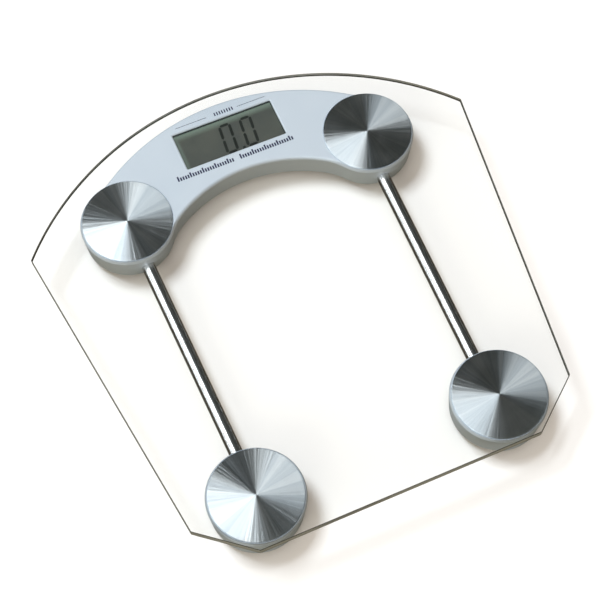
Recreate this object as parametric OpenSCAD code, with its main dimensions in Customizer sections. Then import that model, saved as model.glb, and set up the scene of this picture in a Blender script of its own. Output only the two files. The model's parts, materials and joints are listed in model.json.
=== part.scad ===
// Digital bathroom scale: a clear glass platform bonded to four metal discs, each over a pod with
// a load cell and a foot. An arch-shaped display housing carries the two front pods, and two
// tubes carry the wires of the rear pods. Millimetres. Floor at z = 0, display end towards +Y.

/* [Glass platform] */
// Width of the glass across its two widest corners
glass_w = 330; // [326:1:336]
// Depth of the glass from its straight rear edge to the crown of its arc
glass_d = 330; // [328:1:336]
// Thickness of the toughened glass
glass_t = 6; // [5:0.5:8]
// Distance of the two widest corners ahead of the centre
shoulder_y = 88; // [80:1:96]
// Half width where each side meets its rear corner cut
side_end_x = 136; // [132:1:142]
// Distance of that point behind the centre
side_end_back = 136; // [130:1:142]
// Half width of the straight rear edge
rear_edge_x = 100; // [92:1:110]

/* [Pods and discs] */
// Sideways distance of the front pods from the centre line
front_pod_x = 92.5; // [91.5:0.5:94]
// Distance of the front pods ahead of the centre
front_pod_y = 92.5; // [91.5:0.5:93.5]
// Sideways distance of the rear pods from the centre line
rear_pod_x = 87.7; // [86:0.1:90]
// Distance of the rear pods behind the centre
rear_pod_back = 128.5; // [126:0.5:130]
// Radius of a pod at its top edge
pod_r = 33.6; // [33.2:0.1:34.2]
// Radius of a metal disc
disc_r = 31.8; // [31:0.1:32]

/* [Display housing] */
// Outer radius of the arch at its top edge
arch_outer_r = 160.4; // [159:0.1:161]
// Inner radius of the arch at its top edge
arch_inner_r = 100.8; // [100:0.1:101.5]
// Distance of the arch's centre behind the origin
arch_back = 2; // [1.5:0.1:2.5]
// Thickness of the moulded walls
wall = 2; // [1.8:0.1:2.1]
// How far the outer walls lean in from top to bottom
draft = 1.8; // [1.8:0.1:2.4]

/* [Display] */
// Width of the display window
window_w = 76.8; // [72:0.2:78]
// Height of the display window
window_h = 30.8; // [28:0.2:31]
// Distance of the window's middle ahead of the centre
window_y = 130; // [129.5:0.1:130.5]

/* [Tubes] */
// Outer diameter of a tube
tube_od = 9.5; // [9:0.1:9.7]
// Wall of a tube
tube_wall = 0.8; // [0.6:0.1:1]
// Distance of a tube inboard of the line between its two pods
tube_inset = 1.2; // [0.4:0.1:1.6]

/* [Feet] */
// Radius of a rubber foot pad
pad_r = 16; // [14:0.5:16.5]
// Thickness of a rubber foot pad
pad_t = 2; // [1.8:0.1:2.4]

/* [Hidden] */
$fn = 72;
arc_fn = 360;     // facets of the large arcs
eps = 0.01;       // overlap of two solids that are joined
over = 1;         // how far a straight cutter passes what it cuts
cut_over = 0.5;   // how far a cutting cone passes both ends of what it cuts
fit = 0.15;       // clearance between a cover and its case
thread_gap = 0.05; // radial gap that stands for a screw's thread

// Heights, from the floor up
foot_top_z = 4.2;      // top of a foot's flange
case_bottom = 5;       // lower edge of the cases
base_top = 7;          // top of a base cover
carrier_bottom = 7.6;
cell_bottom = 7.9;
boss_bottom = 8.6;     // screw posts end here, on the base cover's screw cups
cell_top = 10.4;
tube_z = 13.2;         // axis of the tubes
board_bottom = 15.4;
carrier_cavity_top = 16.6;
board_top = 17;
carrier_top = 19.6;
lcd_bottom = 21.4;
ceiling = 23.6;        // inner face of the cases
disc_seat = 25.6;      // floor of a disc's recess
case_top = 26;
disc_top = 26.8;
glass_bottom = 27;
glass_top = glass_bottom + glass_t;

front = [front_pod_x, front_pod_y];
rear = [rear_pod_x, -rear_pod_back];
arch_centre = [0, -arch_back];
edge_chamfer = 0.7;    // rounding of a case's top edge, and the height over which it runs

// Where the arch meets a front pod
inner_blend_r = 40;    // fillet on the concave side
outer_blend_r = 20;    // fillet on the convex side
blend_bite = 8;        // how far a fillet's web reaches into the arch
blend_turn = 0.3;      // degrees by which a web stops short of its tangent line

// Disc, cell and carrier
disc_play = 0.4;
disc_edge = 0.3;       // chamfer round a disc's top face
film_margin = 1;       // how far a bond film stays inside its disc
boss_r = 6;
boss_play = 0.1;
sleeve_r = 9;
disc_screw_r = 1.95;
disc_screw_head_r = 3.6;
disc_screw_head_h = 2.6;
disc_screw_end = 24.5;
shank_play = 0.2;      // radial clearance of a disc screw in its carrier
disc_bore_end = 25;
carrier_half = 17.5;
cell_half = 16;
cell_window = 12.5;    // half the side of the cell's inner opening
tongue_half = 6.5;
tongue_free_end = 7;
cell_play = 0.15;
lead_hole_r = 1.7;

// Feet
flange_r = 18;
stem_r = 6;
stem_hole_r = 6.5;
shoulder_r = 7;
shoulder_bottom = 7.2;
pad_recess = 0.8;      // how deep a pad sits in its foot
pad_play = 0.1;
cell_rest = 4;         // side of the small blocks that keep a cell in its carrier

// Base screws and their posts
screw_reach = 24.8;    // distance of a pod's screws from its centre
post_r = 3.2;
cup_r = 4;
cup_bore_r = 2.9;
cup_hole_r = 1.6;
screw_r = 1.25;
screw_head_r = 2.6;
screw_head_bottom = 5.4;
screw_end = 16;
cross_w = 0.7;         // width of the cross in a screw's head
cross_l = 3.2;
cross_d = 0.9;
arch_screw = [58, 122];

// Tubes and their sockets
tube_r = tube_od / 2;
socket_r = 6.1;
socket_play = 0.1;
socket_start = 21;     // distance of a socket's inner end from the pod's centre
tube_start = 21.5;     // distance of a tube's end from the pod's centre
tube_run = norm(front - rear);
tube_turn = -asin((front[0] - rear[0]) / tube_run);

// Display stack and board
window_play = 0.15;
lens_top = 25.2;
lcd_w = 80;
lcd_y0 = 112.5;
lcd_y1 = 146.5;
frame_half_w = 41.5;
frame_y0 = 111;
frame_y1 = 148;
frame_opening = [74, 26];
frame_shift = 2;                // distance of that opening ahead of the window's middle
lcd_play = 0.15;                // clearance of the display glass and its strip in the frame
strip_w = 70;
strip_y0 = 113.4;
strip_t = 2.4;
board_wide = [52, 104, 136];    // half width, near edge and far edge of the wide part
board_narrow = [44, 136, 147];  // the same of the narrow part
board_post_x = 48;
board_post_y = [108, 132];
board_screw_head_h = 1.5;
board_screw_end = 21;
blob = [-24, 128, 7, 1.8];      // x, y, radius and height of the controller's cover
sensor_r = 2.5;
sensor_l = 11;
sensor_at = [26, 138];
capacitor = [2, 1.2, 1];
capacitor_at = [30, 112];
capacitor_pitch = 4;
capacitor_count = 4;

// Unit switch
switch_at = [-34, 118];
switch_body = [9, 4, 3.5];
switch_travel = 2;
knob = [2, 1.5];
knob_play = 0.2;
knob_bottom = 5.5;
knob_top = 13.2;
knob_slot_top = 13.4;

// Battery, its well and its door
cell_y = 132;
coin_r = 10;
coin_bottom = 7.5;
coin_top = 10.7;
coin_step = 1;         // how much smaller its lower face is
well_r = 10.4;
well_wall = 1.6;
well_top = 12;
rail_half = 17;
rail_y0 = 116;
rail_y1 = 152;
rail_top = 8.4;
door_half = 13;
tongue_reach = 1.5;    // how far the door's tongues stand out at each side
door_step = 6.3;       // height where the door's plate ends and its tongues begin
door_top = 7.3;
door_y0 = 118.2;
door_y1 = 155.2;
door_end = 150.4;      // start of the door's full-width outer end
door_play = 0.2;
groove_w = 1.2;
groove_pitch = 2.4;
groove_count = 5;
groove_d = 0.4;
leaf_t = 0.3;
leaf_w = 4;
leaf_l = 9;

// Wire leads: hand-chosen points of the right-hand leads, in x, y, z
lead_r = 1.2;
lead_sides = 8;
lead_steps = 3;        // rings between two points
front_lead = [[82, 98.5, 13.2], [78, 98.5, 13.2], [74, 98.8, 13.2], [66, 103, 13.2],
    [58, 110, 13.4], [53, 114.5, 13.8], [49, 121, 14.1]];
rear_lead = [[86.8, -118, 13.2], [87, -110, 13.2], [88.4, -40, 13.2], [89.8, 20, 13.2],
    [90.8, 68.5, 13.2], [90.2, 71.8, 13.2], [87, 73, 13.2], [78, 73.3, 13.2], [71, 78, 13.2],
    [64, 92, 13.4], [55, 104, 13.8], [50, 114, 14.1]];

CORNERS = [["front_left", -1, front], ["front_right", 1, front],
    ["rear_left", -1, rear], ["rear_right", 1, rear]];
SIDES = [["left", -1], ["right", 1]];

// ---------- helpers ----------

// Lean of the outer walls at height z, measured inwards from the top edge
function lean(z) = draft * (case_top - z) / (case_top - case_bottom);

// Crossing point, towards the centre line, of a circle of radius ra about a and one of rb about b
function crossing(a, ra, b, rb) =
    let (d = norm(b - a),
         along = (ra * ra - rb * rb + d * d) / (2 * d),
         across = sqrt(ra * ra - along * along),
         u = (b - a) / d)
    a + u * along + [-u[1], u[0]] * across;

// Point p turned about c by an angle
function turned(p, c, angle) =
    let (v = p - c)
    c + [v[0] * cos(angle) - v[1] * sin(angle), v[0] * sin(angle) + v[1] * cos(angle)];

module frustum(z0, z1, r0, r1, fn = $fn) {
    translate([0, 0, z0]) cylinder(h = z1 - z0, r1 = r0, r2 = r1, $fn = fn);
}

module rod(z0, z1, r) {
    frustum(z0, z1, r, r);
}

// Cutting cone that passes both ends of a frustum without changing its slope
module bore_frustum(z0, z1, r0, r1, fn = $fn) {
    over = (r1 - r0) / (z1 - z0) * cut_over;
    frustum(z0 - cut_over, z1 + cut_over, r0 - over, r1 + over, fn);
}

// Box between two opposite corners
module block(low, high) {
    translate(low) cube(high - low);
}

module at(p) {
    translate([p[0], p[1], 0]) children();
}

// Moves something modelled at the origin to the pod of corner c, without mirroring it
module at_corner(c) {
    at([c[1] * c[2][0], c[2][1]]) children();
}

// Repeats something of the right-hand side on both sides
module both_sides() {
    children();
    mirror([1, 0, 0]) children();
}

module on_side(side) {
    mirror([side < 0 ? 1 : 0, 0, 0]) children();
}

// Frame of a right-hand tube: z runs from the front pod's centre to the rear pod's
module along_tube() {
    translate([front[0] - tube_inset, front[1], tube_z])
        rotate([0, 0, tube_turn])
            rotate([90, 0, 0])
                children();
}

// Web that fills the corner between the arch and a right-hand front pod. The blend circle has
// centre c and radius r; arch_edge_r is the arch's edge on that side, and bite goes into the arch.
module blend_web(z0, z1, inset0, inset1, c, r, arch_edge_r, bite) {
    dir = (c - arch_centre) / norm(c - arch_centre);
    root = arch_centre + dir * (arch_edge_r + bite);
    swing = bite > 0 ? 1 : -1;
    difference() {
        translate([0, 0, z0]) linear_extrude(z1 - z0)
            polygon([c, turned(root, c, -swing * blend_turn), turned(front, c, swing * blend_turn)]);
        at(c) bore_frustum(z0, z1, r + inset0, r + inset1, arc_fn);
    }
}

// Solid of the display housing's outline from z0 to z1, drawn in by inset0 and inset1
module arch_block(z0, z1, inset0, inset1) {
    ray = (front - arch_centre) * 2;
    inner_c = crossing(arch_centre, arch_inner_r - inner_blend_r, front, pod_r + inner_blend_r);
    outer_c = crossing(arch_centre, arch_outer_r + outer_blend_r, front, pod_r + outer_blend_r);
    union() {
        both_sides() {
            at(front) frustum(z0, z1, pod_r - inset0, pod_r - inset1, 180);
            blend_web(z0, z1, inset0, inset1, inner_c, inner_blend_r, arch_inner_r, blend_bite);
            blend_web(z0, z1, inset0, inset1, outer_c, outer_blend_r, arch_outer_r, -blend_bite);
        }
        intersection() {
            at(arch_centre) difference() {
                frustum(z0, z1, arch_outer_r - inset0, arch_outer_r - inset1, arc_fn);
                bore_frustum(z0, z1, arch_inner_r + inset0, arch_inner_r + inset1, arc_fn);
            }
            translate([0, -arch_back, z0]) linear_extrude(z1 - z0)
                polygon([[0, 0], ray, [0, 2 * arch_outer_r], [-ray[0], ray[1]]]);
        }
    }
}

// The same for a rear pod, at its own centre
module pod_block(z0, z1, inset0, inset1) {
    frustum(z0, z1, pod_r - inset0, pod_r - inset1, 180);
}

// Recess for a disc and hole for its boss, cut from a case's top at a pod's centre
module disc_recess() {
    rod(disc_seat, case_top + over, disc_r + disc_play);
    rod(carrier_top - over, case_top, boss_r + boss_play);
}

// Sleeve round a disc's boss, clamped between the disc and the cell carrier
module boss_sleeve() {
    rod(carrier_top, ceiling + eps, sleeve_r);
}

// Post for one base screw, and the pilot hole in it
module post() {
    rod(boss_bottom, ceiling + eps, post_r);
}

module post_bore() {
    rod(boss_bottom - eps, screw_end + over, screw_r + thread_gap);
}

// Places of a pod's base screws: one per angle, round the pod's centre
module at_pod_screws(angles) {
    for (a = angles) rotate([0, 0, a]) translate([screw_reach, 0, 0]) children();
}

// Places of the display housing's base screws
module at_housing_screws() {
    both_sides() {
        at(front) at_pod_screws([0, 90]) children();
        at(arch_screw) children();
    }
}

module base_screw() {
    difference() {
        union() {
            rod(screw_head_bottom, base_top, screw_head_r);
            rod(base_top - eps, screw_end, screw_r);
        }
        for (a = [0, 90]) rotate([0, 0, a])
            block([-cross_l / 2, -cross_w / 2, screw_head_bottom - over],
                [cross_l / 2, cross_w / 2, screw_head_bottom + cross_d]);
    }
}

// Cup round a base screw's head, standing on the base cover, and its bore
module screw_cup() {
    rod(case_bottom, boss_bottom, cup_r);
}

module screw_cup_bore() {
    rod(case_bottom - over, base_top, cup_bore_r);
    rod(base_top - over, boss_bottom + over, cup_hole_r);
}

// Blocks on a base cover that keep a load cell's four corners up in its carrier
module cell_rests() {
    for (x = [-1, 1], y = [-1, 1])
        translate([x * (cell_half - cell_rest / 2), y * (cell_half - cell_rest / 2), 0])
            block([-cell_rest / 2, -cell_rest / 2, base_top - eps],
                [cell_rest / 2, cell_rest / 2, cell_bottom - cell_play]);
}

module stem_hole() {
    rod(case_bottom - over, base_top + over, stem_hole_r);
}

// Point at share t of the way from point i to the next one, on a smooth curve through points p
function spline_at(p, i, t) =
    let (a = p[max(i - 1, 0)], b = p[i], c = p[i + 1], d = p[min(i + 2, len(p) - 1)])
    0.5 * (2 * b + (c - a) * t + (2 * a - 5 * b + 4 * c - d) * t * t
        + (3 * b - a - 3 * c + d) * t * t * t);

function spline(p, steps) = concat(
    [for (i = [0:len(p) - 2], k = [0:steps - 1]) spline_at(p, i, k / steps)], [p[len(p) - 1]]);

// Round tube of radius r swept along a route that is never vertical
module sweep(route, r, sides) {
    n = len(route);
    rings = [for (i = [0:n - 1])
        let (way = route[min(i + 1, n - 1)] - route[max(i - 1, 0)],
             across = cross(way, [0, 0, 1]) / norm(cross(way, [0, 0, 1])),
             up = cross(across, way) / norm(cross(across, way)))
        for (k = [0:sides - 1])
            route[i] + r * (across * cos(360 * k / sides) + up * sin(360 * k / sides))];
    skin = [for (i = [0:n - 2], k = [0:sides - 1])
        let (a = i * sides + k, b = i * sides + (k + 1) % sides)
        [a, a + sides, b + sides, b]];
    caps = [[for (k = [0:sides - 1]) k], [for (k = [sides - 1:-1:0]) (n - 1) * sides + k]];
    polyhedron(points = rings, faces = concat(skin, caps));
}

// ---------- platform and discs ----------

module glass_platform() {
    rear_y = -glass_d / 2;
    half_w = glass_w / 2;
    rise = glass_d / 2 - shoulder_y;
    crown_r = (half_w * half_w + rise * rise) / (2 * rise);
    color("lightcyan", 0.4)
        intersection() {
            translate([0, 0, glass_bottom]) linear_extrude(glass_t)
                polygon([[-rear_edge_x, rear_y], [rear_edge_x, rear_y],
                    [side_end_x, -side_end_back], [half_w, shoulder_y], [half_w, glass_d],
                    [-half_w, glass_d], [-half_w, shoulder_y], [-side_end_x, -side_end_back]]);
            translate([0, glass_d / 2 - crown_r, 0])
                frustum(glass_bottom - over, glass_top + over, crown_r, crown_r, arc_fn * 2);
        }
}

module bond_films() {
    color("white", 0.5)
        for (c = CORNERS) at_corner(c) rod(disc_top, glass_bottom, disc_r - film_margin);
}

module disc(c) {
    color("gainsboro")
        at_corner(c) difference() {
            union() {
                rod(disc_seat, disc_top - disc_edge, disc_r);
                frustum(disc_top - disc_edge, disc_top, disc_r, disc_r - disc_edge);
                rod(carrier_top, disc_seat + eps, boss_r);
            }
            rod(carrier_top - over, disc_bore_end, disc_screw_r + thread_gap);
        }
}

module disc_screws() {
    color("silver")
        for (c = CORNERS) at_corner(c) difference() {
            union() {
                rod(carrier_cavity_top - disc_screw_head_h, carrier_cavity_top, disc_screw_head_r);
                rod(carrier_cavity_top - eps, disc_screw_end, disc_screw_r);
            }
            for (a = [0, 90]) rotate([0, 0, a])
                translate([0, 0, carrier_cavity_top - disc_screw_head_h])
                    block([-cross_l / 2, -cross_w / 2, -over], [cross_l / 2, cross_w / 2, cross_d]);
        }
}

// ---------- cases ----------

// Shell of the display housing, with its posts, boss sleeves, tube sockets and openings
module display_housing() {
    color("lightsteelblue")
        difference() {
            union() {
                difference() {
                    housing_skin();
                    arch_block(case_bottom - eps, ceiling,
                        lean(case_bottom) + wall, lean(ceiling) + wall);
                }
                both_sides() {
                    at(front) {
                        boss_sleeve();
                        at_pod_screws([0, 90]) post();
                    }
                    at(arch_screw) post();
                    for (y = board_post_y) at([board_post_x, y])
                        rod(board_top, ceiling + eps, post_r);
                    intersection() {
                        at(front) pod_block(case_bottom, case_top, lean(case_bottom), lean(case_top));
                        along_tube() rod(socket_start, pod_r, socket_r);
                    }
                }
            }
            both_sides() {
                at(front) {
                    disc_recess();
                    at_pod_screws([0, 90]) post_bore();
                }
                at(arch_screw) post_bore();
                for (y = board_post_y) at([board_post_x, y])
                    rod(board_top - eps, board_screw_end + over, screw_r + thread_gap);
                along_tube() rod(socket_start - over, pod_r + over, tube_r + socket_play);
            }
            block([-window_w / 2, window_y - window_h / 2, ceiling - over],
                [window_w / 2, window_y + window_h / 2, case_top + over]);
            door_notch();
        }
}

// Outer form of the display housing, with its rounded top edge
module housing_skin() {
    union() {
        arch_block(case_bottom, case_top - edge_chamfer,
            lean(case_bottom), lean(case_top - edge_chamfer));
        arch_block(case_top - edge_chamfer, case_top, lean(case_top - edge_chamfer), edge_chamfer);
    }
}

module door_notch() {
    block([-door_half - tongue_reach - door_play, door_end, case_bottom - over],
        [door_half + tongue_reach + door_play, arch_outer_r, door_top + door_play]);
}

module housing_base() {
    inset = lean(case_bottom) + wall + fit;
    color("gray")
        difference() {
            union() {
                arch_block(case_bottom, base_top, inset, inset);
                at_housing_screws() screw_cup();
                both_sides() at(front) cell_rests();
                block([-rail_half, rail_y0, base_top - eps], [rail_half, rail_y1, rail_top]);
                at([0, cell_y]) rod(rail_top - eps, well_top, well_r + well_wall);
            }
            at_housing_screws() screw_cup_bore();
            both_sides() at(front) stem_hole();
            door_channel();
            at([0, cell_y]) rod(base_top - over, well_top + over, well_r);
            at([0, cell_y])
                block([coin_r - over, -leaf_w, door_top],
                    [well_r + well_wall + over, leaf_w, well_top + over]);
            at(switch_at)
                block([-knob[0] / 2 - knob_play, -knob[1] / 2 - knob_play, case_bottom - over],
                    [knob[0] / 2 + switch_travel + knob_play, knob[1] / 2 + knob_play, base_top + over]);
        }
}

// Channel for the battery door's plate and tongues
module door_channel() {
    reach = door_half + tongue_reach + door_play;
    y0 = door_y0 - door_play;
    block([-door_half - door_play, y0, case_bottom - over],
        [door_half + door_play, arch_outer_r, door_step + eps]);
    block([-reach, y0, door_step - door_play], [reach, arch_outer_r, door_top + door_play / 2]);
    block([-reach, door_end - door_play, case_bottom - over],
        [reach, arch_outer_r, door_top + door_play / 2]);
}

// Shell of a rear pod: drawn for the right-hand side, and mirrored for the left
module rear_pod(side) {
    color("lightsteelblue")
        on_side(side) difference() {
            union() {
                at(rear) {
                    difference() {
                        union() {
                            pod_block(case_bottom, case_top - edge_chamfer,
                                lean(case_bottom), lean(case_top - edge_chamfer));
                            pod_block(case_top - edge_chamfer, case_top,
                                lean(case_top - edge_chamfer), edge_chamfer);
                        }
                        pod_block(case_bottom - eps, ceiling,
                            lean(case_bottom) + wall, lean(ceiling) + wall);
                    }
                    boss_sleeve();
                    at_pod_screws([0, 180, 270]) post();
                }
                intersection() {
                    at(rear) pod_block(case_bottom, case_top, lean(case_bottom), lean(case_top));
                    along_tube() rod(tube_run - pod_r, tube_run - socket_start, socket_r);
                }
            }
            at(rear) {
                disc_recess();
                at_pod_screws([0, 180, 270]) post_bore();
            }
            along_tube() rod(tube_run - pod_r - over, tube_run - socket_start + over, tube_r + socket_play);
        }
}

module rear_base(side) {
    inset = lean(case_bottom) + wall + fit;
    color("gray")
        on_side(side) at(rear) difference() {
            union() {
                pod_block(case_bottom, base_top, inset, inset);
                at_pod_screws([0, 180, 270]) screw_cup();
                cell_rests();
            }
            at_pod_screws([0, 180, 270]) screw_cup_bore();
            stem_hole();
        }
}

module housing_screws() {
    color("silver") at_housing_screws() base_screw();
}

module rear_base_screws() {
    color("silver") both_sides() at(rear) at_pod_screws([0, 180, 270]) base_screw();
}

module tube(side) {
    color("silver")
        on_side(side) along_tube() difference() {
            rod(tube_start, tube_run - tube_start, tube_r);
            rod(tube_start - over, tube_run - tube_start + over, tube_r - tube_wall);
        }
}

// ---------- load cells and feet ----------

// Block screwed to a disc's boss. The cell's frame lies in its pocket, and the cell's tongue bends
// up into its cavity. The lead leaves through a hole: sideways at the front, to the tube at the rear.
module cell_carrier(c) {
    pocket = cell_half + cell_play;
    is_front = c[2] == front;
    color("dimgray")
        difference() {
            at_corner(c) block([-carrier_half, -carrier_half, carrier_bottom],
                [carrier_half, carrier_half, carrier_top]);
            at_corner(c) {
                block([-pocket, -pocket, carrier_bottom - over], [pocket, pocket, cell_top]);
                block([-cell_window, -cell_window, cell_top - over],
                    [cell_window, cell_window, carrier_cavity_top]);
                rod(carrier_cavity_top - over, carrier_top + over, disc_screw_r + shank_play);
            }
            on_side(c[1])
                if (is_front)
                    translate([front[0], front_lead[0][1], tube_z]) rotate([0, -90, 0])
                        rod(cell_window - over, carrier_half + over, lead_hole_r);
                else
                    along_tube()
                        rod(tube_run - carrier_half - over, tube_run - cell_window + over,
                            lead_hole_r);
        }
}

module load_cell(c) {
    color("silver")
        at_corner(c) difference() {
            block([-cell_half, -cell_half, cell_bottom], [cell_half, cell_half, cell_top]);
            difference() {
                block([-cell_window, -cell_window, cell_bottom - over],
                    [cell_window, cell_window, cell_top + over]);
                block([-tongue_half, -tongue_free_end, cell_bottom - 2 * over],
                    [tongue_half, cell_window + over, cell_top + 2 * over]);
            }
        }
}

module gauge_patches() {
    patch = [4, 2.5, 0.5];
    patch_margin = 1;
    color("white")
        for (c = CORNERS) at_corner(c)
            translate([0, cell_window - patch_margin - patch[1], cell_top])
                block([-patch[0], -patch[1], 0], patch);
}

// Plunger of a foot, up to the load cell's tongue
module foot(c) {
    color("dimgray")
        at_corner(c) difference() {
            union() {
                rod(pad_t - pad_recess, foot_top_z, flange_r);
                rod(foot_top_z - eps, shoulder_bottom + eps, stem_r);
                rod(shoulder_bottom, cell_bottom, shoulder_r);
            }
            rod(0, pad_t, pad_r + pad_play);
        }
}

module foot_pad(c) {
    rim = 0.6;
    color("black")
        at_corner(c) union() {
            frustum(0, rim, pad_r - rim, pad_r);
            rod(rim - eps, pad_t, pad_r);
        }
}

// ---------- display, board and battery ----------

module display_window() {
    half = [window_w / 2 - window_play, window_h / 2 - window_play];
    color("slategray", 0.5)
        at([0, window_y]) block([-half[0], -half[1], ceiling], [half[0], half[1], lens_top]);
}

module display_glass() {
    color("darkslategray")
        block([-lcd_w / 2, lcd_y0, lcd_bottom], [lcd_w / 2, lcd_y1, ceiling]);
}

module display_frame() {
    half = frame_opening / 2;
    color("whitesmoke")
        difference() {
            block([-frame_half_w, frame_y0, board_top], [frame_half_w, frame_y1, ceiling]);
            block([-lcd_w / 2 - lcd_play, lcd_y0 - lcd_play, lcd_bottom],
                [lcd_w / 2 + lcd_play, lcd_y1 + lcd_play, ceiling + over]);
            at([0, window_y + frame_shift])
                block([-half[0], -half[1], board_top - over], [half[0], half[1], lcd_bottom + over]);
            block([-strip_w / 2 - lcd_play, strip_y0 - lcd_play, board_top - over],
                [strip_w / 2 + lcd_play, strip_y0 + strip_t + lcd_play, lcd_bottom + over]);
        }
}

module connector_strip() {
    color("pink")
        block([-strip_w / 2, strip_y0, board_top],
            [strip_w / 2, strip_y0 + strip_t, lcd_bottom]);
}

module circuit_board() {
    color("green")
        difference() {
            union()
                for (part = [board_wide, board_narrow])
                    block([-part[0], part[1] - eps, board_bottom], [part[0], part[2], board_top]);
            at_board_screws() rod(board_bottom - over, board_top + over, cup_hole_r);
        }
}

module at_board_screws() {
    for (x = [-1, 1], y = board_post_y) at([x * board_post_x, y]) children();
}

module board_screws() {
    color("silver")
        at_board_screws() {
            rod(board_bottom - board_screw_head_h, board_bottom, screw_head_r);
            rod(board_bottom - eps, board_screw_end, screw_r);
        }
}

// Low dome of resin over the controller chip
module controller_blob() {
    dome_r = (blob[2] * blob[2] + blob[3] * blob[3]) / (2 * blob[3]);
    color("black")
        at(blob) intersection() {
            translate([0, 0, board_bottom + dome_r - blob[3]]) sphere(r = dome_r, $fn = arc_fn);
            rod(board_bottom - blob[3] - over, board_bottom, blob[2]);
        }
}

module board_capacitors() {
    color("tan")
        for (i = [0:capacitor_count - 1])
            translate([capacitor_at[0] + i * capacitor_pitch, capacitor_at[1], board_bottom])
                block([0, 0, -capacitor[2]], [capacitor[0], capacitor[1], 0]);
}

// Can that closes a contact when the platform is tapped
module tap_sensor() {
    color("silver")
        translate([sensor_at[0], sensor_at[1], board_bottom - sensor_r])
            rotate([0, 90, 0])
                rod(0, sensor_l, sensor_r);
}

module unit_switch_body() {
    mid = switch_travel / 2;
    color("silver")
        at(switch_at) difference() {
            block([mid - switch_body[0] / 2, -switch_body[1] / 2, board_bottom - switch_body[2]],
                [mid + switch_body[0] / 2, switch_body[1] / 2, board_bottom]);
            block([-knob[0] / 2 - knob_play, -knob[1] / 2 - knob_play, case_bottom],
                [knob[0] / 2 + switch_travel + knob_play, knob[1] / 2 + knob_play, knob_slot_top]);
        }
}

module unit_switch_knob() {
    color("black")
        at(switch_at)
            block([-knob[0] / 2, -knob[1] / 2, knob_bottom], [knob[0] / 2, knob[1] / 2, knob_top]);
}

module coin_cell() {
    rim = 0.4;
    color("silver")
        at([0, cell_y]) union() {
            rod(coin_bottom + rim, coin_top, coin_r);
            rod(coin_bottom, coin_bottom + rim + eps, coin_r - coin_step);
        }
}

// Leaf on the battery's upper face, with a leg to the board
module centre_contact() {
    color("goldenrod")
        at([0, cell_y]) union() {
            block([-leaf_w / 2, -leaf_l / 2, coin_top], [leaf_w / 2, leaf_l / 2, coin_top + leaf_t]);
            block([-leaf_w / 2, leaf_l / 2 - leaf_t, coin_top], [leaf_w / 2, leaf_l / 2, board_bottom]);
        }
}

// Leaf on the battery's rim, in the gap of the well, up to the board
module rim_contact() {
    color("goldenrod")
        at([0, cell_y])
            block([coin_r, -leaf_w / 2, coin_bottom + coin_step],
                [coin_r + leaf_t, leaf_w / 2, board_bottom]);
}

module battery_door() {
    reach = door_half + tongue_reach;
    color("gray")
        difference() {
            union() {
                block([-door_half, door_y0, case_bottom], [door_half, door_y1, door_step]);
                block([-reach, door_y0, door_step - eps], [reach, door_end + eps, door_top]);
                block([-reach, door_end, case_bottom], [reach, door_y1, door_top]);
            }
            for (i = [0:groove_count - 1])
                translate([0, door_end - groove_pitch * (i + 1), case_bottom])
                    block([-door_half / 2, 0, -over], [door_half / 2, groove_w, groove_d]);
        }
}

module front_lead_wires(side) {
    color("red") on_side(side) sweep(spline(front_lead, lead_steps), lead_r, lead_sides);
}

module rear_lead_wires(side) {
    color("red") on_side(side) sweep(spline(rear_lead, lead_steps), lead_r, lead_sides);
}

// ---------- assembly ----------

glass_platform();
bond_films();
display_housing();
housing_base();
gauge_patches();
disc_screws();
display_window();
display_glass();
display_frame();
connector_strip();
circuit_board();
board_screws();
controller_blob();
board_capacitors();
tap_sensor();
unit_switch_body();
unit_switch_knob();
coin_cell();
centre_contact();
rim_contact();
battery_door();
housing_screws();
rear_base_screws();
for (c = CORNERS) {
    disc(c);
    cell_carrier(c);
    load_cell(c);
    foot(c);
    foot_pad(c);
}
for (s = SIDES) {
    rear_pod(s[1]);
    rear_base(s[1]);
    tube(s[1]);
    front_lead_wires(s[1]);
    rear_lead_wires(s[1]);
}
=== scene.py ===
import json
import math

import bmesh
import bpy
import numpy as np
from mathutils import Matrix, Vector

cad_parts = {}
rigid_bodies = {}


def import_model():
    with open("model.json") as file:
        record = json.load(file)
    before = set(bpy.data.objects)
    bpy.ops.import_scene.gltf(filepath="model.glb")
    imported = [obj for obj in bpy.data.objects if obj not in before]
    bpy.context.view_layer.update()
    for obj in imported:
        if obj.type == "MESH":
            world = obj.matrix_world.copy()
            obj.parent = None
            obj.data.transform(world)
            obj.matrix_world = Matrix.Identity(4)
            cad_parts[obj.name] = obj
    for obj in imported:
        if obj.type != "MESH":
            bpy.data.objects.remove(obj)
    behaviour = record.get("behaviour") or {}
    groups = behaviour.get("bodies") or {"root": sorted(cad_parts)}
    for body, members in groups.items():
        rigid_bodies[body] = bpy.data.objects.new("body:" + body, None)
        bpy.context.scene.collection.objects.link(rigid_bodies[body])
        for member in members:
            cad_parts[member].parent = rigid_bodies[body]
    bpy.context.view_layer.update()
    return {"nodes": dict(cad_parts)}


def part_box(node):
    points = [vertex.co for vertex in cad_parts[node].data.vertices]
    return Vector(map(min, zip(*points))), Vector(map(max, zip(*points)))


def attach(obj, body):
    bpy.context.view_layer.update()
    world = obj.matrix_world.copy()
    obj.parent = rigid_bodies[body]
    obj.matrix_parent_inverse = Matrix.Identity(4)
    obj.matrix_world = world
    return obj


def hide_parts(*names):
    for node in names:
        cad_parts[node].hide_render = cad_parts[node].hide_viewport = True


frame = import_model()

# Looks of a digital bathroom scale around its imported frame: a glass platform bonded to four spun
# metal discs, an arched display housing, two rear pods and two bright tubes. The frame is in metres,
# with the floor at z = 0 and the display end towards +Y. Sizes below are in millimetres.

MM = 0.001
CORNERS = ("front_left", "front_right", "rear_left", "rear_right")
SIDES = {"left": -1, "right": 1}


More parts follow.
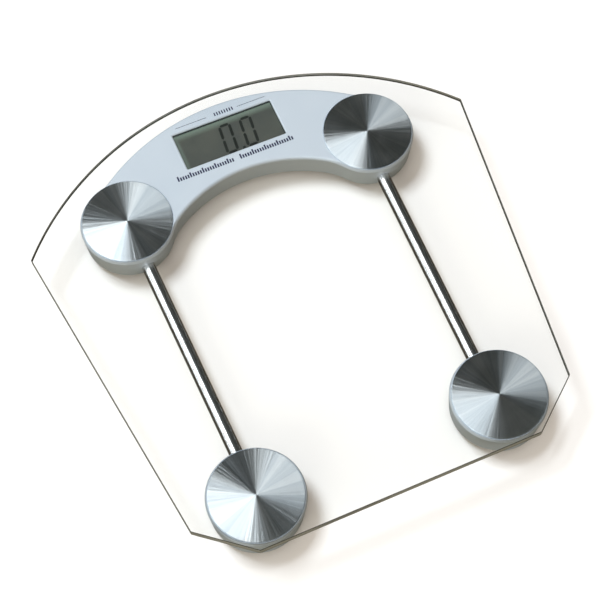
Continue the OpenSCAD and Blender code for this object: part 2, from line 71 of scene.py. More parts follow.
def box_mm(node):
    """Lowest and highest corner of a CAD node, in millimetres."""
    low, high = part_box(node)
    return np.array(low) / MM, np.array(high) / MM


def centre_mm(node):
    low, high = box_mm(node)
    return (low + high) / 2


# ---------- camera ----------

VIEW_AZIMUTH = -23.54  # degrees, from the rear edge towards the left
VIEW_ELEVATION = 64.39
VIEW_DISTANCE = 1.0491  # metres, like the target
VIEW_TARGET = Vector((-0.0064, -0.0127, 0.030))
VIEW_LENS = 92.19
VIEW_SENSOR = 36


def direction(azimuth, elevation):
    """Unit vector at an azimuth, seen from the rear edge, and an elevation, in degrees."""
    a, e = math.radians(azimuth), math.radians(elevation)
    return Vector((math.sin(a) * math.cos(e), -math.cos(a) * math.cos(e), math.sin(e)))


def aim(obj, place, target):
    obj.location = place
    obj.rotation_euler = (place - target).to_track_quat("Z", "Y").to_euler()


def make_camera():
    data = bpy.data.cameras.new("camera")
    data.lens = VIEW_LENS
    data.sensor_width = VIEW_SENSOR
    data.clip_start = 0.01
    data.clip_end = 50
    camera = bpy.data.objects.new("camera", data)
    bpy.context.scene.collection.objects.link(camera)
    aim(camera, VIEW_TARGET + VIEW_DISTANCE * direction(VIEW_AZIMUTH, VIEW_ELEVATION), VIEW_TARGET)
    bpy.context.scene.camera = camera


make_camera()

# ---------- sizes ----------

# Heights and plan sizes that the frame gives
GLASS_LOW, GLASS_HIGH = box_mm("glass_platform")
POD = {c: centre_mm(f"disc_{c}")[:2] for c in CORNERS}
DISC_R = (box_mm("disc_front_right")[1] - box_mm("disc_front_right")[0])[0] / 2
DISC_BOTTOM = box_mm("disc_front_right")[0][2]
DISC_TOP = box_mm("disc_front_right")[1][2]
CASE_BOTTOM = box_mm("display_housing")[0][2]
CASE_TOP = box_mm("display_housing")[1][2]
LENS_LOW, LENS_HIGH = box_mm("display_window")
LCD_LOW, LCD_HIGH = box_mm("display_glass")
TUBE_Z = centre_mm("tube_right")[2]
TUBE_R = (box_mm("tube_right")[1] - box_mm("tube_right")[0])[2] / 2

# Outline of the glass
SHOULDER_Y = 88
SIDE_END = (136, -136)
REAR_EDGE_X = 100
GLASS_CORNER_R = 1.5
ARRIS = 0.55  # ground edge along the glass's rim
GLASS_GAP = 0.02  # the glass stays this far off the adhesive films
FILM_GAP = 0.03  # and the films this far off the discs

# Cases
POD_R = 33.6
DRAFT = 1.8
WALL = 2
ARCH_OUTER_R = 160.4
ARCH_INNER_R = 100.8
ARCH_CENTRE = np.array([0.0, -2.0])
INNER_FILLET_R = 40
OUTER_FILLET_R = 20
SHOULDER_POD = (1.3, 2.6)  # shoulder of the top edge, width and depth: at the pods, along the arch
SHOULDER_ARCH = (2.6, 2.6)
BOTTOM_ROUND = 0.5
CEILING = 23.6
DISC_SEAT = 25.6
DISC_PLAY = 0.4
BOSS_R = 6
BOSS_PLAY = 0.1
SLEEVE_R = 9
SCREW_BORE_R = 2
POST_R = 3.2
POST_BOTTOM = 8.6
POST_BORE_R = 1.3
POST_BORE_TOP = 17
SCREW_REACH = 24.8
FRONT_SCREW_ANGLES = (0, 90)
REAR_SCREW_ANGLES = (0, 180, 270)
ARCH_SCREW = (58, 122)
BOARD_POSTS = ((48, 108), (48, 132))
BOARD_TOP = 17
BOARD_BORE_TOP = 22
INTO_ROOF = CEILING + 0.5  # posts and sleeves are sunk this high into the roof
SOCKET_R = 6.1
SOCKET_START = 21
SOCKET_END = 30.6
SOCKET_PLAY = 0.1
DOOR_PLAY = 0.2
DOOR_GAP = (5, 10)  # how far the door's opening runs inside and outside of the door's outer end
OVER = 1.5  # how far a cutter passes what it cuts

# Tubes
TUBE_INSET = 1.2
TUBE_WALL = 0.8
TUBE_START = 21.5

# Window
WINDOW_CHAMFER = 0.7
WINDOW_CHAMFER_DEPTH = 0.45
WINDOW_PLAY = 0.15
WINDOW_CORNER = 0.8


# ---------- mesh helpers ----------


def new_object(name, verts, faces, materials, face_slots=None):
    """Mesh object from points in millimetres."""
    mesh = bpy.data.meshes.new(name)
    mesh.from_pydata((np.asarray(verts, float) * MM).tolist(), [], faces)
    for m in materials if isinstance(materials, (list, tuple)) else [materials]:
        mesh.materials.append(m)
    if face_slots is not None:
        mesh.polygons.foreach_set("material_index", face_slots)
    obj = bpy.data.objects.new(name, mesh)
    bpy.context.scene.collection.objects.link(obj)
    return obj


def tidy_normals(obj):
    """Turns the faces of a closed mesh outwards."""
    work = bmesh.new()
    work.from_mesh(obj.data)
    bmesh.ops.recalc_face_normals(work, faces=work.faces)
    work.to_mesh(obj.data)
    work.free()


def smooth(obj, angle=35):
    """Smooth shading that stays crisp on edges sharper than the angle and on flat faces."""
    obj.data.polygons.foreach_set("use_smooth", [True] * len(obj.data.polygons))
    obj.data.set_sharp_from_angle(angle=math.radians(angle))
    normals = obj.modifiers.new("flat faces stay flat", "WEIGHTED_NORMAL")
    normals.keep_sharp = True
    normals.weight = 100


def loft(rings):
    """Closed mesh through rings of equal length, the lowest first, each anticlockwise from above."""
    count = len(rings[0])
    verts = np.concatenate([np.asarray(r, float) for r in rings])
    faces = [[count - 1 - k for k in range(count)]]
    for i in range(len(rings) - 1):
        for k in range(count):
            n = (k + 1) % count
            faces.append([i * count + k, i * count + n, (i + 1) * count + n, (i + 1) * count + k])
    faces.append([(len(rings) - 1) * count + k for k in range(count)])
    return verts, faces


def lathe(profile, segments, centre=(0, 0), closed=False):
    """Solid of revolution of (radius, height) points. A point at radius 0 is a pole. A closed
    profile joins its last point to its first."""
    angles = np.arange(segments) * 2 * math.pi / segments
    verts, rings = [], []
    for r, z in profile:
        if r == 0:
            rings.append([len(verts)])
            verts.append((centre[0], centre[1], z))
        else:
            rings.append(list(range(len(verts), len(verts) + segments)))
            verts += [(centre[0] + r * math.cos(a), centre[1] + r * math.sin(a), z) for a in angles]
    faces = []
    pairs = list(zip(rings, rings[1:])) + ([(rings[-1], rings[0])] if closed else [])
    for low, high in pairs:
        for k in range(segments):
            n = (k + 1) % segments
            corners = [low[k % len(low)], low[n % len(low)], high[n % len(high)], high[k % len(high)]]
            faces.append(list(dict.fromkeys(corners)))
    return np.array(verts), [f for f in faces if len(f) > 2]


def joined(parts):
    """Vertices and faces of several (vertices, faces) pairs as one."""
    verts, faces, start = [], [], 0
    for v, f in parts:
        verts.append(np.asarray(v, float))
        faces += [[i + start for i in face] for face in f]
        start += len(v)
    return np.concatenate(verts), faces


def arc(centre, radius, start, end, step):
    """Points on an arc between two angles in degrees, at most step degrees apart."""
    count = max(2, int(math.ceil(abs(end - start) / step)) + 1)
    angles = np.radians(np.linspace(start, end, count))
    return np.c_[centre[0] + radius * np.cos(angles), centre[1] + radius * np.sin(angles)]


def at_height(points, z):
    return np.c_[points, np.full(len(points), float(z))]


def rounded_rectangle(low, high, radius, step=15):
    corners = ((high[0] - radius, low[1] + radius, -90), (high[0] - radius, high[1] - radius, 0),
               (low[0] + radius, high[1] - radius, 90), (low[0] + radius, low[1] + radius, 180))
    return np.concatenate([arc((x, y), radius, a, a + 90, step) for x, y, a in corners])


def slab(low, high, corner=0.3, edge=0.1):
    """Block with rounded upright edges and a small chamfer all round its faces."""
    def ring(inset, z):
        flat = rounded_rectangle(np.array(low[:2]) + inset, np.array(high[:2]) - inset,
                                 max(corner - inset, 0.02))
        return at_height(flat, z)
    return loft([ring(edge, low[2]), ring(0, low[2] + edge), ring(0, high[2] - edge),
                 ring(edge, high[2])])


def carve(obj, tools, operation):
    """Applies one boolean operation with each (vertices, faces) tool, which then goes."""
    helpers = []
    for verts, faces in tools:
        helper = new_object("tool", verts, faces, list(obj.data.materials))
        tidy_normals(helper)
        step = obj.modifiers.new("carve", "BOOLEAN")
        step.operation = operation
        step.solver = "MANIFOLD"
        step.object = helper
        helpers.append(helper)
    depsgraph = bpy.context.evaluated_depsgraph_get()
    mesh = bpy.data.meshes.new_from_object(obj.evaluated_get(depsgraph), depsgraph=depsgraph)
    obj.modifiers.clear()
    mesh.name = obj.name
    obj.data = mesh
    for helper in helpers:
        bpy.data.objects.remove(helper)


def cylinder(centre, radius, z0, z1, segments=48):
    return lathe([(0, z0), (radius, z0), (radius, z1), (0, z1)], segments, centre)


def place(obj, body, slot, *replaced):
    """Fixes a piece to its body and hides the CAD nodes it stands for; its slot is not used."""
    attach(obj, body)
    if replaced:
        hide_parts(*replaced)
    return obj


def make_piece(name, shape, material, slot, *replaced, body="scale_body", angle=35):
    """Piece of a body from a closed (vertices, faces) pair. Without an angle it stays faceted."""
    obj = new_object(name, *shape, material)
    tidy_normals(obj)
    if angle:
        smooth(obj, angle)
    return place(obj, body, slot, *replaced)


# ---------- material helpers ----------


def add_node(tree, kind, settings=None, **inputs):
    """Node with its settings, and inputs given as values or as sockets, by name or as i and a number."""
    node = tree.nodes.new(kind)
    for key, value in (settings or {}).items():
        setattr(node, key, value)
    for key, value in inputs.items():
        numbered = key[0] == "i" and key[1:].isdigit()
        socket = node.inputs[int(key[1:]) if numbered else key.replace("_", " ")]
        if isinstance(value, bpy.types.NodeSocket):
            tree.links.new(value, socket)
        else:
            socket.default_value = value
    return node


class Nodes:
    """Node tree of one material, with a Principled shader to its output."""

    def __init__(self, name, **values):
        self.material = bpy.data.materials.new(name)
        self.material.use_nodes = True
        self.tree = self.material.node_tree
        self.tree.nodes.clear()
        self.out = self.add("ShaderNodeOutputMaterial")
        self.shader = self.add("ShaderNodeBsdfPrincipled", **values)
        self.link(self.shader.outputs[0], self.out.inputs["Surface"])
        self.coordinates = self.add("ShaderNodeTexCoord")

    def link(self, source, target):
        self.tree.links.new(source, target)

    def add(self, kind, settings=None, **inputs):
        return add_node(self.tree, kind, settings, **inputs)

    def math(self, operation, a, b=0.0, c=0.0, clamp=False):
        node = self.add("ShaderNodeMath", {"operation": operation, "use_clamp": clamp},
                        i0=a, i1=b, i2=c)
        return node.outputs[0]

    def noise(self, scale, detail=2.0, vector=None, roughness=0.5, seed=0.0):
        node = self.add("ShaderNodeTexNoise", {"noise_dimensions": "4D"},
                        Vector=vector or self.coordinates.outputs["Object"],
                        Scale=scale, Detail=detail, Roughness=roughness, W=seed)
        return node.outputs["Fac"]

    def ramp(self, value, low, high, out_low=0.0, out_high=1.0):
        """Value mapped smoothly from low..high to out_low..out_high."""
        node = self.add("ShaderNodeMapRange", {"interpolation_type": "SMOOTHSTEP"}, Value=value,
                        From_Min=low, From_Max=high, To_Min=out_low, To_Max=out_high)
        return node.outputs["Result"]

    def blend(self, factor, a, b):
        """Colour between a and b."""
        node = self.add("ShaderNodeMix", {"data_type": "RGBA"}, Factor=factor, i6=a, i7=b)
        return node.outputs[2]

    def colour(self, value, low, high, a, b, most=1.0):
        """Base colour that runs from a towards b, by most of the way, as a value runs from low to high."""
        mix = self.blend(self.ramp(value, low, high, 0.0, most), a, b)
        self.link(mix, self.shader.inputs["Base Color"])

    def roughness(self, *ramp):
        """Roughness that follows a value, with the arguments of ramp."""
        self.link(self.ramp(*ramp), self.shader.inputs["Roughness"])

    def bump(self, height, strength, distance):
        node = self.add("ShaderNodeBump", Strength=strength, Distance=distance * MM, Height=height)
        self.link(node.outputs[0], self.shader.inputs["Normal"])


def rgba(r, g, b):
    """Linear colour of an 8-bit display colour."""
    def linear(v):
        v /= 255
        return v / 12.92 if v <= 0.04045 else ((v + 0.055) / 1.055) ** 2.4
    return (linear(r), linear(g), linear(b), 1)


def scaled(colour, by):
    return tuple(min(1, c * by) for c in colour[:3]) + (1,)


def grain(size):
    """Noise scale, in cells per metre, of a grain of that size in millimetres."""
    return 1 / (size * MM)


def moulded(name, colour, roughness=0.45, texture=0.35, depth=0.02, mottle=0.06, coat=0.0):
    """Moulded plastic: a fine eroded texture, slow shifts of tone and of gloss."""
    n = Nodes(name, Coat_Weight=coat, Coat_Roughness=0.12)
    slow = n.noise(grain(18), 3, seed=1)
    fine = n.noise(grain(texture), 3, seed=2)
    n.colour(slow, 0.3, 0.7, scaled(colour, 1 - mottle), scaled(colour, 1 + mottle))
    n.roughness(fine, 0.2, 0.8, roughness - 0.06, roughness + 0.08)
    n.bump(fine, 0.5, depth)
    return n.material


def metal(name, colour, roughness=0.25, scratch=0.6, depth=0.004, variation=0.06, stretch=(1, 1, 1)):
    """Bare or plated metal: fine marks, drawn out along an axis where stretch says so."""
    n = Nodes(name, Metallic=1.0)
    vector = n.add("ShaderNodeMapping", Vector=n.coordinates.outputs["Object"],
                   Scale=stretch).outputs[0]
    marks = n.noise(grain(scratch), 4, vector, seed=3)
    stain = n.noise(grain(9), 2, seed=4)
    n.colour(stain, 0.3, 0.7, scaled(colour, 1 - variation), scaled(colour, 1 + variation))
    n.roughness(marks, 0.25, 0.75, roughness * 0.75, roughness * 1.3)
    n.bump(marks, 0.4, depth)
    return n.material


def rubber(name, colour, roughness=0.75, texture=0.25, depth=0.03):
    n = Nodes(name, Specular_IOR_Level=0.35)
    fine = n.noise(grain(texture), 4, seed=5)
    dust = n.noise(grain(6), 3, seed=6)
    n.colour(dust, 0.45, 0.8, colour, scaled(colour, 1.35))
    n.roughness(fine, 0.2, 0.8, roughness - 0.1, roughness + 0.1)
    n.bump(fine, 0.6, depth)
    return n.material


def lets_lamps_through(n, shader):
    """Sends light straight through a clear material, so that what is under it stays lit."""
    path = n.add("ShaderNodeLightPath")
    clear = n.add("ShaderNodeBsdfTransparent").outputs[0]
    for kind in ("Is Shadow Ray", "Is Reflection Ray"):
        shader = n.add("ShaderNodeMixShader", Fac=path.outputs[kind], i1=shader, i2=clear).outputs[0]
    n.link(shader, n.out.inputs["Surface"])


def clear_glass(name, tint, ior=1.5, smear=0.0):
    """Polished glass or acrylic with the faintest ripple."""
    n = Nodes(name, Base_Color=tint, Transmission_Weight=1.0, IOR=ior, Roughness=smear)
    ripple = n.noise(grain(60), 1, seed=7)
    n.bump(ripple, 0.15, 0.01)
    lets_lamps_through(n, n.shader.outputs[0])
    return n.material


# ---------- materials ----------


GROOVE_LEAN = 0.135  # slope of the grooves' faces, down towards the disc's rim
RAY_DEPTH = 0.009


def spun_metal(name, seed):
    """Aluminium turned on a lathe: grooves run round the centre, so light fans out in sectors."""
    n = Nodes(name, Metallic=1.0, Anisotropic=0.97, Anisotropic_Rotation=0.25)
    tangent = n.add("ShaderNodeTangent", {"direction_type": "RADIAL", "axis": "Z"})
    n.link(tangent.outputs[0], n.shader.inputs["Tangent"])
    offset = n.add("ShaderNodeVectorMath", {"operation": "SUBTRACT"},
                   i0=n.coordinates.outputs["Generated"], i1=(0.5, 0.5, 0.0)).outputs[0]
    flat = n.add("ShaderNodeVectorMath", {"operation": "MULTIPLY"}, i0=offset, i1=(1, 1, 0)).outputs[0]
    outward = n.add("ShaderNodeVectorMath", {"operation": "NORMALIZE"}, i0=flat).outputs[0]
    reach = n.add("ShaderNodeVectorMath", {"operation": "LENGTH"}, i0=flat).outputs["Value"]
    # Rays: stripes that run outwards, in the bump the tool's chatter, and in the base colour partly that
    # chatter and partly painted streaks of reflected light
    wide = n.noise(1.6, 2, outward, seed=seed)
    narrow = n.noise(7.0, 3, outward, roughness=0.65, seed=seed + 3.1)
    rays = n.math("ADD", n.math("MULTIPLY", wide, 0.55), n.math("MULTIPLY", narrow, 0.45))
    n.colour(rays, 0.38, 0.62, rgba(206, 215, 222), rgba(245, 250, 253))
    # Grooves: fine circles of uneven depth, cut so that their faces lean a little outwards
    circles = n.add("ShaderNodeCombineXYZ", X=reach, Y=0.0, Z=0.0).outputs[0]
    groove = n.noise(260.0, 3, circles, roughness=0.7, seed=seed + 5.2)
    n.roughness(groove, 0.25, 0.75, 0.38, 0.44)
    radius = n.math("MULTIPLY", reach, 2 * DISC_R)
    sweep = n.math("MULTIPLY_ADD", narrow, RAY_DEPTH, -GROOVE_LEAN)
    height = n.math("MULTIPLY_ADD", groove, 0.0002, n.math("MULTIPLY", radius, sweep))
    n.bump(height, 1.0, 1.0)
    return n.material


def ground_edge(name, colour):
    """Ground rim of the glass: dull, greenish grey, with faint lengthwise marks."""
    n = Nodes(name, Specular_IOR_Level=0.5)
    marks = n.noise(grain(0.4), 3, seed=8)
    drift = n.noise(grain(30), 2, seed=9)
    n.colour(drift, 0.3, 0.7, scaled(colour, 0.85), scaled(colour, 1.15))
    n.roughness(marks, 0.2, 0.8, 0.3, 0.5)
    n.bump(marks, 0.3, 0.01)
    return n.material


def adhesive_film():
    """Cured clear adhesive, all but invisible, with a trace of haze and bubbles."""
    n = Nodes("adhesive", Base_Color=rgba(250, 252, 252), Roughness=0.35)
    haze = n.ramp(n.noise(grain(14), 2, seed=10), 0.35, 0.75, 0.0, 0.006)
    clear = n.add("ShaderNodeBsdfTransparent")
    mix = n.add("ShaderNodeMixShader", Fac=haze, i1=clear.outputs[0], i2=n.shader.outputs[0])
    n.link(mix.outputs[0], n.out.inputs["Surface"])
    return n.material


def silver_lacquer():
    """Pale blue silver lacquer: fine metal flake under a satin coat."""
    n = Nodes("silver_lacquer", Coat_Weight=0.15, Coat_Roughness=0.3, Metallic=0.05)
    flake = n.noise(grain(0.12), 2, seed=11)
    cloud = n.noise(grain(45), 2, seed=12)
    tone = n.blend(n.ramp(cloud, 0.3, 0.7), rgba(188, 201, 214), rgba(195, 207, 219))
    n.colour(flake, 0.55, 0.8, tone, rgba(214, 222, 230), 0.35)
    n.roughness(flake, 0.2, 0.8, 0.42, 0.5)
    n.bump(flake, 0.25, 0.004)
    return n.material


def polished_tube():
    """Bright drawn tube: mirror polish with hairlines along its length."""
    n = Nodes("polished_tube", Metallic=1.0)
    drawn = n.add("ShaderNodeMapping", Vector=n.coordinates.outputs["Object"],
                  Scale=(1, 0.02, 1)).outputs[0]
    lines = n.noise(grain(0.25), 3, drawn, seed=13)
    n.colour(lines, 0.3, 0.7, rgba(214, 216, 218), rgba(238, 239, 240))
    n.roughness(lines, 0.2, 0.8, 0.2, 0.3)
    n.bump(lines, 0.1, 0.002)
    return n.material


CRYSTAL_LIGHT_BAND = (138.5, 144.5)  # painted light: where the polariser turns lighter and greener, along y
CRYSTAL_LIGHT_LEFT = (-36.5, -34.5)  # and along x, at its left end


def crystal_front():
    """Front of the liquid crystal glass: a dark polariser with painted light, a lighter, greener strip
    along its far edge and at its left end.
    """
    n = Nodes("crystal_front", Coat_Weight=0.3, Coat_Roughness=0.05)
    place_mm = n.add("ShaderNodeSeparateXYZ", Vector=n.coordinates.outputs["Object"])
    x, y = place_mm.outputs["X"], place_mm.outputs["Y"]
    # Painted light: a lighter, greener band fades in along the far edge and, half as strong, at the left
    # end
    far = n.ramp(y, *(v * MM for v in CRYSTAL_LIGHT_BAND))
    left = n.math("MULTIPLY", n.ramp(x, *(v * MM for v in CRYSTAL_LIGHT_LEFT), 1.0, 0.0), 0.55)
    painted_light_band = n.math("MAXIMUM", far, left)
    weave = n.noise(grain(0.5), 3, seed=14)
    cloud = n.noise(grain(14), 2, seed=15)
    film = n.blend(n.ramp(cloud, 0.3, 0.7), rgba(72, 76, 74), rgba(82, 85, 80))
    film = n.blend(n.ramp(weave, 0.3, 0.7, 0.0, 0.25), film, rgba(98, 102, 98))
    n.link(n.blend(painted_light_band, film, rgba(116, 132, 122)), n.shader.inputs["Base Color"])
    n.roughness(weave, 0.2, 0.8, 0.28, 0.4)
    return n.material


def solder_mask():
    """Green circuit board with copper tracks under the mask."""
    n = Nodes("solder_mask", Coat_Weight=0.5, Coat_Roughness=0.15, Roughness=0.4)
    brick = n.add("ShaderNodeTexBrick", {"offset": 0.37, "squash": 1.4},
                  Vector=n.coordinates.outputs["Object"], Scale=220.0, Mortar_Size=0.02, Mortar_Smooth=0.3,
                  Color1=rgba(16, 92, 46), Color2=rgba(20, 104, 52), Mortar=rgba(46, 140, 78))
    cloth = n.noise(grain(0.6), 2, seed=16)
    n.colour(cloth, 0.3, 0.7, brick.outputs["Color"], rgba(10, 74, 38), 0.3)
    n.bump(brick.outputs["Fac"], 0.3, 0.03)
    return n.material


def zebra_strip():
    """Elastomer strip of thin dark and pink layers."""
    n = Nodes("zebra_strip", Roughness=0.6)
    wave = n.add("ShaderNodeTexWave", {"wave_type": "BANDS", "bands_direction": "X"},
                 Vector=n.coordinates.outputs["Object"], Scale=grain(1.6), Distortion=0.0)
    n.colour(wave.outputs["Fac"], 0.4, 0.6, rgba(60, 22, 26), rgba(214, 120, 126))
    n.bump(n.noise(grain(0.2), 2, seed=17), 0.3, 0.02)
    return n.material


FINISH = {
    "glass": clear_glass("clear_glass", (0.985, 0.995, 0.99, 1)),
    "rim": ground_edge("ground_rim", rgba(158, 161, 156)),
    # The dark arris is a copy of the ground rim in painted shade: it stands for the dark lines that the
    # glass's edges show by refraction
    "painted_shade_arris": ground_edge("ground_arris_painted_shade", rgba(56, 57, 52)),
    "adhesive": adhesive_film(),
    "lacquer": silver_lacquer(),
    "base": moulded("base_plastic", rgba(158, 163, 168), 0.55, texture=0.5, depth=0.05),
    "tube": polished_tube(),
    "carrier": moulded("carrier_plastic", rgba(38, 38, 40), 0.5),
    "cell": metal("cell_steel", rgba(176, 178, 180), 0.32, stretch=(1, 0.05, 1)),
    "silicone": rubber("gauge_silicone", rgba(232, 232, 226), 0.5),
    "screw": metal("zinc_plate", rgba(196, 199, 202), 0.28, scratch=0.3),
    "foot": moulded("foot_plastic", rgba(126, 130, 134), 0.5, texture=0.4),
    "pad": rubber("pad_rubber", rgba(34, 34, 37)),
    "lens": clear_glass("window_acrylic", (0.93, 0.96, 0.95, 1), 1.49),
    "crystal": crystal_front(),
    "segment": moulded("crystal_segment", rgba(22, 28, 26), 0.4, texture=0.2, depth=0.002),
    # Painted shade: dark bars round the crystal, where the window's recess throws shade
    "mask": moulded("recess_shade_paint", rgba(34, 46, 46), 0.45, texture=0.2, depth=0.002),
    "frame": moulded("frame_plastic", rgba(224, 226, 228), 0.5),
    "zebra": zebra_strip(),
    "board": solder_mask(),
    "resin": moulded("glob_resin", rgba(24, 24, 25), 0.3, texture=2.0, depth=0.03, coat=0.4),
    "capacitor": moulded("fired_ceramic", rgba(164, 132, 96), 0.5, texture=0.15),
    "can": metal("plated_can", rgba(186, 186, 186), 0.22, scratch=0.8),
    "knob": moulded("knob_plastic", rgba(26, 26, 27), 0.4, texture=0.25),
    "coin": metal("nickel_can", rgba(200, 202, 204), 0.2, scratch=1.2),
    "spring": metal("spring_bronze", rgba(208, 184, 122), 0.25, scratch=0.4),
    "sleeve": rubber("lead_sleeve", rgba(150, 38, 32), 0.5, texture=0.8, depth=0.01),
    "ink": moulded("navy_ink", rgba(20, 24, 66), 0.6, texture=0.2, depth=0.002),
}

# ---------- glass platform ----------


def glass_outline():
    """Plan of the glass: arc in front, tapering sides, cut rear corners, straight rear edge."""
    half, front, rear = GLASS_HIGH[0], GLASS_HIGH[1], GLASS_LOW[1]
    rise = front - SHOULDER_Y
    crown_r = (half ** 2 + rise ** 2) / (2 * rise)
    reach = math.degrees(math.asin(half / crown_r))
    crown = arc((0, front - crown_r), crown_r, 90 - reach, 90 + reach, 0.35)
    right = [(REAR_EDGE_X, rear), SIDE_END]
    corners = [(-REAR_EDGE_X, rear), *right] + [tuple(p) for p in crown] + [(-SIDE_END[0], SIDE_END[1])]
    return round_corners(np.array(corners), GLASS_CORNER_R)


def round_corners(points, radius, least_turn=8, steps=6):
    """Replaces each corner that turns by more than least_turn degrees by a small arc."""
    found = []
    for i, p in enumerate(points):
        a, b = points[i - 1] - p, points[(i + 1) % len(points)] - p
        a, b = a / np.linalg.norm(a), b / np.linalg.norm(b)
        turn = math.degrees(math.pi - math.acos(np.clip(a @ b, -1, 1)))
        if turn < least_turn:
            found.append(p)
            continue
        back = radius * math.tan(math.radians(turn) / 2)
        start, end = p + a * back, p + b * back
        for t in np.linspace(0, 1, steps):
            found.append((1 - t) ** 2 * start + 2 * t * (1 - t) * p + t * t * end)
    return np.array(found)


def outward_normals(points):
    """Unit normals of a closed anticlockwise outline, and how far each corner must move along its
    normal for the edges beside it to move by 1."""
    step = np.roll(points, -1, 0) - points
    edge = np.c_[step[:, 1], -step[:, 0]] / np.linalg.norm(step, axis=1)[:, None]
    both = edge + np.roll(edge, 1, 0)
    return both / (1 + (edge * np.roll(edge, 1, 0)).sum(1))[:, None]


def make_glass():
    outline = glass_outline()
    normals = outward_normals(outline)
    low, high = GLASS_LOW[2] + GLASS_GAP, GLASS_HIGH[2]
    levels = ((ARRIS, low), (0.12, low + ARRIS * 0.62), (0, low + ARRIS * 2.3),
              (0, high - ARRIS * 1.3), (0.12, high - ARRIS * 0.62), (ARRIS, high))
    rings = [at_height(outline - inset * normals, z) for inset, z in levels]
    verts, faces = loft(rings)
    count = len(outline)
    # Painted shade: the chamfered bands above and below the rim take the dark copy of the ground edge
    bands = ("painted_shade_arris", "painted_shade_arris", "rim", "rim", "painted_shade_arris")
    order = ["glass", "rim", "painted_shade_arris"]
    slots = [0] + [order.index(b) for b in bands for _ in range(count)] + [0]
    glass = new_object("platform_glass", verts, faces, [FINISH[k] for k in order], slots)
    smooth(glass)
    place(glass, "scale_body", "platform_glass", "glass_platform")


# ---------- discs and films ----------

DISC_SEGMENTS = 240
DISC_RINGS = 46
DISC_EDGE = 0.35
GROOVE_DEPTH = 0.008
POINT_R = 0.9  # small dimple left by the lathe's centre
POINT_DEPTH = 0.12
DISC_BORE_TOP = 24.6  # the screw's bore, and the tip of its drill point
DISC_BORE_TIP = 25
FILM_MARGIN = 1  # a film stays this far inside its disc


def disc_profile():
    """From the centre of the top face outwards, down the rim, and back under the disc."""
    top = [(0, DISC_TOP - POINT_DEPTH), (POINT_R * 0.4, DISC_TOP - POINT_DEPTH * 0.7)]
    for i, r in enumerate(np.linspace(POINT_R, DISC_R - DISC_EDGE, DISC_RINGS)):
        top.append((r, DISC_TOP - GROOVE_DEPTH * (i % 2)))
    edge = [(DISC_R - DISC_EDGE * (1 - math.sin(a)), DISC_TOP - DISC_EDGE * (1 - math.cos(a)))
            for a in np.radians((20, 40, 60, 80))]
    under = [(DISC_R, DISC_TOP - DISC_EDGE), (DISC_R, DISC_SEAT + 0.15), (DISC_R - 0.15, DISC_SEAT),
             (BOSS_R + 0.2, DISC_SEAT), (BOSS_R, DISC_SEAT - 0.2), (BOSS_R, DISC_BOTTOM + 0.3),
             (BOSS_R - 0.3, DISC_BOTTOM), (SCREW_BORE_R + 0.3, DISC_BOTTOM),
             (SCREW_BORE_R, DISC_BOTTOM + 0.3), (SCREW_BORE_R, DISC_BORE_TOP), (0, DISC_BORE_TIP)]
    return top + edge + under


def make_discs():
    low, high = box_mm("bond_films")
    films = []
    for number, corner in enumerate(CORNERS):
        make_piece(f"spun_disc_{corner}", lathe(disc_profile(), DISC_SEGMENTS, POD[corner]),
                   spun_metal(f"spun_metal_{corner}", 2.7 * number), "spun_metal", f"disc_{corner}",
                   angle=30)
        r = DISC_R - FILM_MARGIN
        z0, z1 = low[2] + FILM_GAP, high[2] - FILM_GAP
        films.append(lathe([(0, z0), (r - 0.1, z0), (r, (z0 + z1) / 2), (r - 0.1, z1), (0, z1)],
                           120, POD[corner]))
    make_piece("adhesive_films", joined(films), FINISH["adhesive"], "bond_adhesive", "bond_films")


# ---------- cases ----------


def lean(z):
    """How far the outer walls lean in at height z."""
    return DRAFT * (CASE_TOP - z) / (CASE_TOP - CASE_BOTTOM)


def crossing(a, ra, b, rb):
    """Crossing point, towards the centre line, of the circles about a and b."""
    d = np.linalg.norm(b - a)
    along = (ra * ra - rb * rb + d * d) / (2 * d)
    across = math.sqrt(ra * ra - along * along)
    u = (b - a) / d
    return a + u * along + np.array([-u[1], u[0]]) * across


def angle_of(v):
    return math.degrees(math.atan2(v[1], v[0]))


